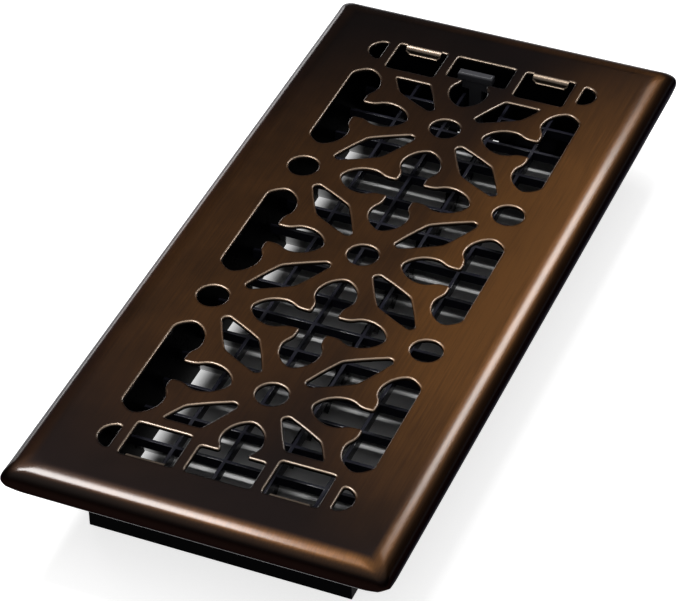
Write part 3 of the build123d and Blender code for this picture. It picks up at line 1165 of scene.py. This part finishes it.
class OBJECT_OT_register_stage(bpy.types.Operator):
    """Set up the pale floor, the lamps and the camera"""

    bl_idname = "object.register_stage"
    bl_label = "Build Stage"

    def execute(self, context):
        sizes = context.scene.register_looks.stage
        scene = context.scene
        scene.view_settings.view_transform = "Standard"
        add_floor(sizes)
        add_world(scene, sizes)
        add_lamp("left_lamp", sizes.left_place, sizes.left_size, sizes.left_power, sizes.left_roll)
        add_lamp("rear_lamp", sizes.rear_place, sizes.rear_size, sizes.rear_power)
        add_lamp("low_lamp", sizes.low_place, sizes.low_size, sizes.low_power)
        camera = bpy.data.cameras.new("camera")
        camera.lens = sizes.lens
        camera.clip_start = CAMERA_CLIP
        holder = bpy.data.objects.new("camera", camera)
        holder.location = CAMERA_PLACE
        holder.rotation_euler = Euler([math.radians(angle) for angle in CAMERA_TURN_DEGREES])
        scene.collection.objects.link(holder)
        scene.camera = holder
        return {"FINISHED"}


def seen_ray(tree):
    """One where a ray from the camera, a mirror or glass meets the surface."""
    path = add_node(tree, "ShaderNodeLightPath")
    direct = maths(tree, "MAXIMUM", path.outputs["Is Camera Ray"], path.outputs["Is Glossy Ray"])
    return maths(tree, "MAXIMUM", direct, path.outputs["Is Transmission Ray"])


def add_floor(sizes):
    """A pale floor that looks white and keeps the object's shadow, with a painted shadow under the box."""
    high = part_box("damper_box")[1]
    shell = bmesh.new()
    bmesh.ops.create_grid(shell, x_segments=1, y_segments=1, size=sizes.floor_size / 2)
    material = bpy.data.materials.new("pale_floor")
    material.use_nodes = True
    tree = material.node_tree
    shader = tree.nodes["Principled BSDF"]
    shader.inputs["Base Color"].default_value = FLOOR_COLOUR
    shader.inputs["Roughness"].default_value = 1.0
    shader.inputs["Specular IOR Level"].default_value = 0.0
    shader.inputs["Emission Color"].default_value = WHITE
    spot = parts_of(tree, add_node(tree, "ShaderNodeTexCoord").outputs["Object"])
    # Painted shadow: under the box the glow falls to the duct glow, which paints the floor dark there
    beside = maths(tree, "SUBTRACT", maths(tree, "ABSOLUTE", spot["X"]), high.x - PAINTED_SHADOW_BLUR)
    beyond = maths(tree, "SUBTRACT", maths(tree, "ABSOLUTE", spot["Y"]), high.y - PAINTED_SHADOW_BLUR)
    outside = eased(
        tree, maths(tree, "MAXIMUM", beside, beyond), 0.0, PAINTED_SHADOW_BLUR, sizes.duct_glow, sizes.floor_glow)
    glow = times(tree, seen_ray(tree), outside)
    tree.links.new(glow, shader.inputs["Emission Strength"])
    floor = new_piece("floor", shell, material)
    floor.data.transform(Matrix.Translation((0, 0, cad_box[0].z - FLOOR_GAP)))


def add_world(scene, sizes):
    """A white horizon where it is seen, and soft light from above, the sides and the near side."""
    world = bpy.data.worlds.new("studio")
    world.use_nodes = True
    tree = world.node_tree
    background = tree.nodes["Background"]
    toward = parts_of(tree, add_node(tree, "ShaderNodeTexCoord").outputs["Generated"])
    horizon = eased(tree, toward["Z"], *HORIZON_BAND, 1 - sizes.fill, 0.0)
    sky = eased(tree, toward["Z"], *SKY_BAND, sizes.fill, sizes.sky)
    front = eased(tree, toward["Y"], *FRONT_BAND, sizes.front, 0.0)
    around = maths(tree, "ADD", sky, front)
    shown = times(tree, seen_ray(tree), horizon)
    tree.links.new(maths(tree, "ADD", shown, around), background.inputs["Strength"])
    background.inputs["Color"].default_value = WHITE
    scene.world = world


def add_lamp(name, place, size, power, roll=0.0):
    """A soft area lamp aimed at the object."""
    lamp = bpy.data.lights.new(name, "AREA")
    lamp.shape = "RECTANGLE"
    lamp.size, lamp.size_y = size
    lamp.energy = power
    holder = bpy.data.objects.new(name, lamp)
    holder.location = place
    aim = (-Vector(place)).to_track_quat("-Z", "Y")
    holder.rotation_euler = (aim @ Quaternion((0, 0, 1), roll)).to_euler()
    bpy.context.scene.collection.objects.link(holder)


class VIEW3D_PT_floor_register(bpy.types.Panel):
    """Sizes, colours and build steps of the floor register"""

    bl_label = "Floor Register"
    bl_idname = "VIEW3D_PT_floor_register"
    bl_space_type = "VIEW_3D"
    bl_region_type = "UI"
    bl_category = "Register"

    def draw(self, context):
        looks = context.scene.register_looks
        for group in (looks.plate, looks.grid, looks.slat, looks.mould, looks.stage):
            column = self.layout.column(align=True)
            for name in group.__annotations__:
                column.prop(group, name)
        for operator in OPERATORS:
            self.layout.operator(operator.bl_idname)


OPERATORS = (
    OBJECT_OT_register_plate, OBJECT_OT_register_grid, OBJECT_OT_register_box,
    OBJECT_OT_register_louvers, OBJECT_OT_register_lever, OBJECT_OT_register_stage)
CLASSES = (
    PlateSizes, GridSizes, SlatSizes, MouldSizes, StageSizes, RegisterLooks,
    *OPERATORS, VIEW3D_PT_floor_register)


def register():
    """Register the classes and give the scene its sizes."""
    for item in CLASSES:
        bpy.utils.register_class(item)
    bpy.types.Scene.register_looks = PointerProperty(
        name="Register looks", description="Sizes and colours of the floor register", type=RegisterLooks)


def unregister():
    """Take the sizes and the classes away again."""
    del bpy.types.Scene.register_looks
    for item in reversed(CLASSES):
        bpy.utils.unregister_class(item)


def main():
    """Build every piece and the stage."""
    register()
    bpy.ops.object.register_plate()
    bpy.ops.object.register_grid()
    bpy.ops.object.register_box()
    bpy.ops.object.register_louvers()
    bpy.ops.object.register_lever()
    bpy.ops.object.register_stage()


if __name__ == "__main__":
    main()
